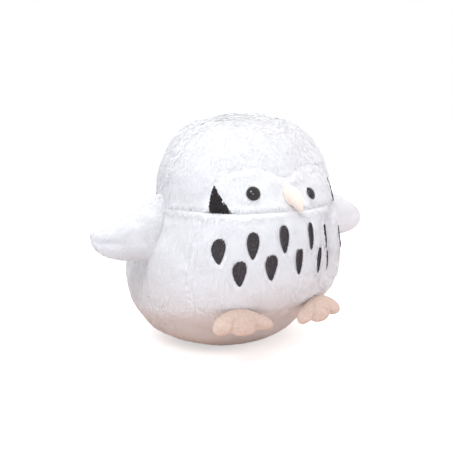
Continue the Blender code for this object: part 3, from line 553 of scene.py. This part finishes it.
def plush_piece(name, sources, look, body, spacing, length, width, levels=2, seed=0, sink=CLOTH_SINK,
                bare=None, thickness=CLOTH_THICKNESS, reshape=body_form, lie=lie_down, pull=SEAM_PULL, puff=PUFF,
                stray=0.35, rise=(0.36, 0.02), fringe=0.5, stand=None, trim=None, face=None, weld=0.0,
                pucker=PUCKER, allowance=True):
    """A panel of pile cloth that stands for CAD nodes: smooth, puffed, pulled in at its seams, with its pile.
    With a weld, its sources are sewn edge to edge into one closed pad."""
    draw = np.random.default_rng(seed)
    shell, rim = outer_faces(sources, weld)
    piece = cloth_object(name, shell)
    smoothed(piece, levels)
    mesh = piece.data
    places, normals = places_of(mesh), normals_of(mesh)
    edge = rim_distance(places, rim)
    by = -sink - pull * hump(edge, SEAM_REACH) + puff * hump(edge - PUFF_REACH, PUFF_REACH)
    by += ripples(places, PUCKER_LENGTH, 5) * pucker * np.exp(-edge / PUCKER_REACH)
    moved = places + normals * by[:, None]
    if reshape:
        moved += reshape(places, normals)
    mesh.vertices.foreach_set("co", moved.ravel())
    mesh.update()
    roots, out, chosen, weights = pile_roots(piece, spacing, draw)
    near = (edge[chosen] * weights).sum(1)
    if bare:
        keep = ~bare(roots, out)
        roots, out, near = roots[keep], out[keep], near[keep]
    lengths = length * (fringe + (1 - fringe) * np.clip(near / FRINGE_REACH, 0, 1))
    upright = stand(roots) if stand else np.zeros(len(roots))
    lengths = lengths * (1 - STANDING_CUT * upright) * (trim(roots) if trim else 1)
    softness = PILE_SOFTNESS * (np.clip(near / RIM_REACH, 0, 1) if weld else np.ones(len(roots)))
    facing = face(roots, out) if face else out
    pile, soft = pile_mesh(name + "_pile", roots, out, facing, lie(roots, out), lengths, width, draw, rise, stray,
                           upright, softness)
    if not weld:
        if allowance:
            turn_in(piece)
        give_thickness(piece, thickness)
        piece.data.set_sharp_from_angle(angle=SEAM_ANGLE)
    cloth = len(piece.data.vertices)
    add_mesh(piece, pile)
    bpy.ops.object.shade_smooth()
    piece.data.normals_split_custom_set_from_vertices(np.concatenate((np.zeros((cloth, 3)), soft)))
    piece.data.materials.clear()
    piece.data.materials.append(look)
    if body:
        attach(piece, body)
    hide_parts(*sources)
    return piece


def under_spots(roots, out):
    """No pile grows under the cloth spots."""
    return spot_near(roots)[0] < SPOT_BARE


def beside_spots(roots):
    """The pile stands up beside the spots, which are sewn down into it."""
    return hump(np.maximum(spot_near(roots)[0], 0), SPOT_COMB)


def lie_by_spots(places, normals):
    """The breast's pile lies down, and is combed away from the edges of the spots."""
    aside = beside_spots(places)[:, None]
    return laid(lie_down(places, normals) * (1 - aside) + spot_near(places)[1] * aside, normals)


def spot_form(name):
    """Follows the breast, and draws the cloth in to the width that shows."""
    at = SPOT_NAMES.index(name)
    middle, right = SPOTS[at][:2]

    def form(places, normals):
        across = (places - middle) @ right
        return body_form(places, normals) + (across * (SPOT_SHOW[at] - 1))[:, None] * right

    return form


CHEEK_RIMS = np.concatenate([outer_faces(["cheek_patch_" + side])[1] for side in ("left", "right")])
CHEEK_CLIP, CHEEK_CLIP_REACH, REST_BARE = 0.6, 0.0028, 0.0022
WHITE_PILE, WHITE_LOCK = 0.0042, 0.0008


def short_by_cheeks(roots):
    """The white pile is clipped short where it borders the black patches."""
    return 1 - CHEEK_CLIP * hump(rim_distance(roots, CHEEK_RIMS), CHEEK_CLIP_REACH)


def under_rest(roots, out):
    """The flat face that the owl rests on is pressed bare."""
    return roots[:, 2] < REST_BARE


# Each panel's node, spacing of locks in millimetres, seed and seam pull in millimetres, and where its pile is bare or
# stands up
PANELS = (
    ("crown_plush", "crown_panel", 1.10, 21, 0.4, None, None),
    ("mask_plush", "face_mask", 0.95, 22, 0.5, None, None),
    ("head_back_plush", "head_back_panel", 1.25, 23, 0.2, None, None),
    ("breast_plush", "breast_panel", 1.10, 24, 0.8, under_spots, beside_spots),
    ("side_left_plush", "side_panel_left", 1.25, 25, 0.2, None, None),
    ("side_right_plush", "side_panel_right", 1.20, 26, 0.2, None, None),
    ("base_plush", "base_panel", 1.45, 27, 0.2, under_rest, None),
)
for name, node, spacing, seed, pull, bare, stand in PANELS:
    piece = plush_piece(name, [node], white_plush, "owl", spacing / 1000, WHITE_PILE, WHITE_LOCK,
                        seed=seed, bare=bare, stand=stand, lie=lie_by_spots if stand else lie_down,
                        pull=pull / 1000, fringe=1.15 - 0.5 * pull, puff=PUFF * pull, trim=short_by_cheeks)

# ---- Cheek patches ----
# A three-cornered patch of black plush fills each outer lower corner of the face mask, sewn into the same seams.
# Its pile is as long as the white plush's and breaks over the seams as a slightly ragged edge.
black_plush = plush("black_plush_pile", (0.020, 0.017, 0.017), (0.026, 0.022, 0.021), (0.045, 0.038, 0.037), 0.85,
                    0.15, (1, 0.9, 0.85), 0.4, wavelength=0.01)
for side, seed in (("left", 31), ("right", 32)):
    plush_piece("cheek_" + side, ["cheek_patch_" + side], black_plush, "owl", 0.00085, WHITE_PILE,
                0.0006, levels=3, seed=seed, sink=-0.0002, stray=0.4, rise=(0.45, 0.10), fringe=0.6, puff=0)

# ---- Breast spots ----
# Eleven drops of dark flocked cloth are sewn down on the breast in two rows. Their nap is cropped short.
# The white pile stands up round them, and closes in over the sides of those that lie round the owl's flank.
flock = plush("spot_flock", (0.040, 0.033, 0.036), (0.050, 0.040, 0.043), (0.085, 0.072, 0.078), 0.9, 0.2,
              (1, 0.95, 0.95), 0.5, wavelength=0.008)
for k, name in enumerate(SPOT_NAMES):
    plush_piece(name + "_flock", [name], flock, "owl", 0.0007, 0.0013, 0.0004, levels=2, seed=40 + k,
                sink=0.0011, thickness=0.0005, pull=0.0001, puff=0, stray=0.8, fringe=0.8, pucker=0,
                allowance=False, reshape=spot_form(name))

# ---- Beak ----
# A small padded beak in short peach plush, sewn to the mask by its open end and bent down to a point.
# Its nap is cropped so short that the cloth reads as smooth.
peach = plush("peach_short_pile", (0.90, 0.76, 0.65), (0.87, 0.72, 0.60), (0.93, 0.82, 0.73), 0.9, 0.3,
              (1, 0.93, 0.88), 0.5, wavelength=0.012)
beak = plush_piece("beak_plush", ["beak_cover"], peach, "owl", 0.00055, 0.0009, 0.0003, levels=2,
                   seed=60, sink=0.0003, thickness=0.0008, reshape=None, pull=0, puff=0, stray=0.6, fringe=1.0,
                   pucker=0, allowance=False)

# ---- Eyes ----
# Two domed buttons of black plastic, pressed into the face on posts. The pile closes round their rims.
# Each is a moulded dome on a short flat collar, so it is a ball flattened behind. The left one is turned outwards.
EYE_RADIUS, EYE_RISE, EYE_BACK, EYE_SEGMENTS, EYE_RINGS = 0.0059, 0.0042, 0.0010, 48, 24
EYE_SINK = {"right": 0.0057, "left": 0.0073}
LEFT_EYE_TURN = math.radians(33)
EYE_COLOURS, EYE_CLOUD_SCALE = ((0.006, 0.004, 0.004, 1), (0.014, 0.009, 0.009, 1)), 260
EYE_ROUGHNESS, EYE_SCUFF_SCALE = (0.06, 0.16), 900
EYE_GLOSS, EYE_COAT, EYE_COAT_ROUGHNESS = 0.3, 0.6, 0.04
button = bpy.data.materials.new("eye_plastic")
button.use_nodes = True
tree = button.node_tree
shader = tree.nodes["Principled BSDF"]
place = add_node(tree, "TexCoord").outputs["Object"]
cloud, scuff = (add_node(tree, "TexNoise", {"Scale": scale}) for scale in (EYE_CLOUD_SCALE, EYE_SCUFF_SCALE))
tree.links.new(place, cloud.inputs["Vector"])
tree.links.new(place, scuff.inputs["Vector"])
tree.links.new(mix_colours(tree, cloud.outputs["Fac"], *EYE_COLOURS), shader.inputs["Base Color"])
tree.links.new(map_range(tree, scuff.outputs["Fac"], (0, 1), EYE_ROUGHNESS), shader.inputs["Roughness"])
set_values(shader, {"Specular IOR Level": EYE_GLOSS, "Coat Weight": EYE_COAT, "Coat Roughness": EYE_COAT_ROUGHNESS})
for side in ("right", "left"):
    eye, washer = (places_of(frame["nodes"][kind + side].data) for kind in ("eye_", "eye_washer_"))
    inner = Vector(washer.mean(0))
    post = Vector(eye[np.linalg.norm(eye - np.array(inner), axis=1).argmax()]) - inner
    axis = post.normalized()
    seat = inner + axis * (post.length - EYE_SINK[side])
    if side == "left":
        axis.rotate(Matrix.Rotation(LEFT_EYE_TURN, 3, "Z"))
    bpy.ops.object.select_all(action="DESELECT")
    bpy.ops.mesh.primitive_uv_sphere_add(segments=EYE_SEGMENTS, ring_count=EYE_RINGS, radius=EYE_RADIUS)
    ball = bpy.context.active_object
    ball.name = "eye_button_" + side
    ball.data.name = ball.name
    for vert in ball.data.vertices:
        vert.co.z *= (EYE_RISE if vert.co.z > 0 else EYE_BACK) / EYE_RADIUS
    ball.data.transform(axis.to_track_quat("Z", "Y").to_matrix().to_4x4())
    ball.data.transform(Matrix.Translation(seat))
    bpy.ops.object.shade_smooth()
    ball.data.materials.append(button)
    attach(ball, "owl")
    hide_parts("eye_" + side)

# ---- Wings ----
# Each wing is two cloths of white plush, sewn round the edge and stuffed, then sewn by its root to the owl's side.
# The root is puffed out into the body's pile, and a crease runs in from the tip where the stuffing ends.
WING_PLANE, WING_ROOT, WING_TIP = -0.032, 0.0855, 0.1447
WING_ROOT_SINK, WING_ROOT_SHARE, WING_ROOT_FLARE = 0.0090, 0.42, 1.1
SHOULDER_RISE, SHOULDER_THIN, SHOULDER_SHARE = 0.0065, 0.45, 0.45
TIP_PLACE, TIP_OUT, TIP_UP, TIP_REACH = (0.97, 0.50), {"right": 0.0022, "left": 0.0005}, 0.0022, 0.10
WING_SEAM_PULL, WING_SEAM_REACH = 0.0007, 0.0011
WING_CREASE, WING_CREASE_REACH, WING_CREASE_SEAM = {"right": 0.0016, "left": 0.0005}, 0.055, 0.003
CREASE_HEIGHT, CREASE_SLOPE, CREASE_START = 0.30, 0.10, 0.45
WING_UNEVEN, WING_UNEVEN_LENGTH, WING_UNEVEN_SEED = 0.0006, 0.018, {"right": 15, "left": 14}
# The left wing is stuffed fuller, so it stands higher and its top edge is rounder
LEFT_LIFT, LEFT_ARCH, ARCH_PLACE, ARCH_REACH = 0.0025, 0.0070, 0.70, 0.30
# How far the root's pile faces as the body's does, over what reach, which way, and how much on its front and back
ROOT_FACING, ROOT_FACING_START, ROOT_FACING_REACH = 0.8, 0.002, 0.016
ROOT_WAY, ROOT_SIDES = (0.85, -0.5, 0.15), (1, -0.2)
WING_PILE_FALL = 0.55
BEND_INNER, BEND_OUTER, BEND_HEIGHT = 0.082, 0.101, 0.115


def wing_span(places):
    """How far out each place is along the wing, from 0 at its root to 1 at its tip."""
    return (np.abs(places[:, 0]) - WING_ROOT) / (WING_TIP - WING_ROOT)


def wing_form(side):
    """Sinks the wing's root into the body, draws out its upper corner, and presses in the seam and the crease."""
    low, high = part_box("wing_front_" + side)
    sign = 1 if side == "left" else -1

    def form(places, normals):
        span, rise = wing_span(places), (places[:, 2] - low.z) / (high.z - low.z)
        depth = places[:, 1] - WING_PLANE
        face = np.sign(depth)
        change = np.zeros_like(places)
        root = np.clip(1 - span / WING_ROOT_SHARE, 0, 1)
        change[:, 0] -= sign * WING_ROOT_SINK * root
        change[:, 1] += depth * WING_ROOT_FLARE * root**1.5
        if side == "left":
            change[:, 2] += LEFT_LIFT * np.clip(span / 0.5, 0, 1)
            change[:, 2] += LEFT_ARCH * hump(span - ARCH_PLACE, ARCH_REACH) * np.clip((rise - 0.30) / 0.6, 0, 1)
        shoulder = np.clip((rise - 0.60) / 0.35, 0, 1) * np.clip(1 - span / SHOULDER_SHARE, 0, 1)
        change[:, 2] += SHOULDER_RISE * shoulder
        change[:, 1] -= depth * SHOULDER_THIN * shoulder
        corner = hump(np.hypot(span - TIP_PLACE[0], rise - TIP_PLACE[1]), TIP_REACH)
        change[:, 0] += sign * TIP_OUT[side] * corner
        change[:, 2] += TIP_UP * corner
        seam = hump(depth, WING_SEAM_REACH) * (1 - root)
        change[:, 0] -= sign * WING_SEAM_PULL * seam * np.clip(span, 0, 1)
        line = CREASE_HEIGHT + CREASE_SLOPE * span
        crease = hump(rise - line, WING_CREASE_REACH) * np.clip((span - CREASE_START) / 0.3, 0, 1)
        crease *= np.clip(np.abs(depth) / WING_CREASE_SEAM, 0, 1)
        change[:, 1] -= face * WING_CREASE[side] * crease
        change[:, 1] += face * WING_UNEVEN * ripples(places, WING_UNEVEN_LENGTH, WING_UNEVEN_SEED[side])
        return change

    return form


def lie_outward(places, normals):
    """The wing's pile lies out towards its tip and down."""
    return laid(np.sign(places[:, :1]) * (1.0, 0.0, 0.0) + np.array((0.0, 0.0, -WING_PILE_FALL)), normals)


def face_by_root(places, normals):
    """The root's pile mingles with the body's and catches the light as the body's does."""
    start = WING_ROOT - ROOT_FACING_START
    near = ROOT_FACING * np.clip(1 - (np.abs(places[:, :1]) - start) / ROOT_FACING_REACH, 0, 1)
    outward = np.stack((np.sign(places[:, 0]), np.ones(len(places)), np.ones(len(places))), 1) * ROOT_WAY
    return normals * (1 - near) + outward * near * np.where(places[:, 1:2] < WING_PLANE, *ROOT_SIDES)


for side, sign, seed in (("right", -1, 71), ("left", 1, 72)):
    wing = plush_piece("wing_" + side + "_plush", ["wing_front_" + side, "wing_back_" + side], white_plush, None,
                       0.0010, 0.0036, 0.0007, seed=seed, sink=0.0006, reshape=wing_form(side),
                       lie=lie_outward, face=face_by_root, pull=0, puff=0, weld=0.0006, pucker=0)
    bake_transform(wing, "owl", "wing_" + side, start=(sign * BEND_INNER, WING_PLANE, BEND_HEIGHT),
             end=(sign * BEND_OUTER, WING_PLANE, BEND_HEIGHT))

# ---- Feet ----
# Each foot is a three-toed pad of short peach plush, sewn round its edge, stuffed, and sewn by its heel to the belly.
# Stitches pull a crease down between the toes.
FOOT_TILT, FOOT_HALF_WIDTH, FOOT_LENGTH, FOOT_HINGE_INSET = math.radians(64), 0.0285, 0.0215, 0.0020
HEEL_SINK, HEEL_SHARE, HEEL_BEND = 0.0024, 0.25, 0.006
# Each crease's outer and inner end, in half widths across and lengths forward
TOE_CREASES = (((0.42, 0.80), (0.30, 0.34)), ((-0.41, 0.84), (-0.26, 0.36)))
CREASE_DEPTH, CREASE_REACH, CREASE_SEAM = 0.0025, 0.0018, 0.004
FOOT_UNEVEN, FOOT_UNEVEN_LENGTH = 0.0004, 0.009


def foot_frame(side):
    """The heel, and the ways across and forward, from the joint that the foot folds on."""
    joint = next(j for j in frame["joints"] if j["name"] == "foot_fold_" + side)
    across = np.array(joint["axis"])
    ahead = np.array((across[1], -across[0], 0.0))
    ahead *= -np.sign(ahead[1])
    forward = ahead * math.cos(FOOT_TILT) - np.array((0, 0, math.sin(FOOT_TILT)))
    return np.array(joint["pos_m"]) - forward * FOOT_HINGE_INSET, across, forward


def foot_form(side):
    """Sinks the heel into the belly and pulls the creases in between the toes."""
    heel, across, forward = foot_frame(side)
    sign = 1 if side == "left" else -1
    above = np.cross(across, forward)

    def form(places, normals):
        over = (places - heel) @ across / (-sign * FOOT_HALF_WIDTH)
        along = (places - heel) @ forward / FOOT_LENGTH
        lift = (places - heel) @ above
        change = -forward * HEEL_SINK * np.clip(1 - along / HEEL_SHARE, 0, 1)[:, None]
        for (u0, v0), (u1, v1) in TOE_CREASES:
            start = np.stack((over - u0, along - v0), 1) * (FOOT_HALF_WIDTH, FOOT_LENGTH)
            step = np.array((u1 - u0, v1 - v0)) * (FOOT_HALF_WIDTH, FOOT_LENGTH)
            share = np.clip(start @ step / (step @ step), 0, 1)
            near = np.linalg.norm(start - share[:, None] * step, axis=1)
            deep = CREASE_DEPTH * (1 - 0.5 * share) * hump(near, CREASE_REACH)
            change -= above * (np.clip(lift / CREASE_SEAM, -1, 1) * deep)[:, None]
        return change + above * (FOOT_UNEVEN * ripples(places, FOOT_UNEVEN_LENGTH, 16) * np.sign(lift))[:, None]

    return form


# The feet are the same peach cloth as the beak, but their colour is set darker than the beak's: painted shade,
# standing for the shade the low feet sit in.
peach_painted_shade = plush("foot_pile_painted_shade", (0.68, 0.51, 0.42), (0.64, 0.465, 0.375), (0.74, 0.59, 0.51), 0.9, 0.3,
                   (1, 0.9, 0.85), 0.5, wavelength=0.012)
for side, seed in (("right", 81), ("left", 82)):
    heel, _, forward = foot_frame(side)
    foot = plush_piece("foot_" + side + "_plush", ["foot_top_" + side, "foot_sole_" + side], peach_painted_shade, None,
                       0.00065, 0.0012, 0.00035, seed=seed, sink=0.0003, reshape=foot_form(side),
                       lie=lambda places, normals: laid(np.tile(forward, (len(places), 1)), normals), pull=0, puff=0,
                       weld=0.0006, pucker=0, stray=0.6)
    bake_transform(foot, "owl", "foot_" + side, start=tuple(heel), end=tuple(heel + forward * HEEL_BEND))

# ---- Stuffing, pellets and washers ----
# Polyester fibre fills the head, body, wings, feet and beak, over a cloth bag of plastic pellets in the base.
# Each is shaped to lie inside its cloth. The washers that hold the eyes are moulded nylon and keep their CAD solids.
# The filling follows a fold deeper than FOLD_CLEAR, a little further than the cloth, above the floor's flat part
FOLD_CLEAR, FOLD_FOLLOW, FOLD_FLOOR = 0.001, 1.2, 0.06
CORE_SHARE, CORE_DRAW, CORE_THIN, FOOT_CORE_SINK = 0.5, 0.0085, 0.8, 0.0006
SETTLE, SETTLE_UNEVEN, SETTLE_LENGTH = 0.0002, 0.0002, 0.012
fibre = plush("polyester_fibre", (0.93, 0.93, 0.92), (0.90, 0.90, 0.90), (0.85, 0.85, 0.85), 1.0, 0.3, (1, 1, 1), 0.8)
bag = plush("pellet_bag_cloth", (0.80, 0.79, 0.76), (0.76, 0.75, 0.72), (0.70, 0.69, 0.66), 0.9, 0.1, (1, 1, 1), 0.8)
nylon = plush("washer_nylon", (0.82, 0.82, 0.80), (0.80, 0.80, 0.79), (0.77, 0.77, 0.76), 0.35, 0.0, (1, 1, 1), 0.1)
for side in ("left", "right"):
    washer = frame["nodes"]["eye_washer_" + side]
    washer.data.materials.clear()
    washer.data.materials.append(nylon)


def filling(name, source, body, move, look=fibre):
    """A filling shaped to lie inside its cloth, as its CAD solid does inside the plain cloth."""
    solid = bmesh.new()
    solid.from_mesh(frame["nodes"][source].data)
    bmesh.ops.subdivide_edges(solid, edges=solid.edges, cuts=1, use_grid_fill=True)
    core = cloth_object(name, solid)
    places = places_of(core.data)
    core.data.vertices.foreach_set("co", (places + move(places, normals_of(core.data))).ravel())
    core.data.update()
    bpy.ops.object.shade_smooth()
    core.data.materials.append(look)
    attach(core, body)
    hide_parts(source)


def body_core(places, normals):
    """Drawn in where the cloth is folded in."""
    fold = np.clip(-fold_height(places) - FOLD_CLEAR, 0, 1) * (places[:, 2] > FOLD_FLOOR)
    return -normals * (FOLD_FOLLOW * fold)[:, None]


def wing_core(places, normals):
    """Thinned towards the root, so that it clears the body's cloth when the wing swings."""
    root = np.clip(1 - np.abs(wing_span(places)) / CORE_SHARE, 0, 1)[:, None]
    outward = np.sign(places[:, :1]) * CORE_DRAW
    return np.concatenate((outward, (WING_PLANE - places[:, 1:2]) * CORE_THIN, 0 * outward), 1) * root


def foot_core(side):
    """Creased between the toes as the cloth is, and a little inside it."""
    return lambda places, normals: foot_form(side)(places, normals) - normals * FOOT_CORE_SINK


def settled(places, normals):
    """A loose fill that has sunk a little unevenly."""
    return -normals * (SETTLE + SETTLE_UNEVEN * ripples(places, SETTLE_LENGTH, 17))[:, None]


filling("body_fibre", "body_filling", "owl", body_core)
filling("head_fibre", "head_filling", "owl", body_core)
filling("beak_fibre", "beak_filling", "owl", settled)
filling("pellet_bag_cloth", "pellet_bag", "owl", settled, bag)
for side in ("right", "left"):
    filling("wing_fibre_" + side, "wing_filling_" + side, "wing_" + side, wing_core)
    filling("foot_fibre_" + side, "foot_filling_" + side, "foot_" + side, foot_core(side))
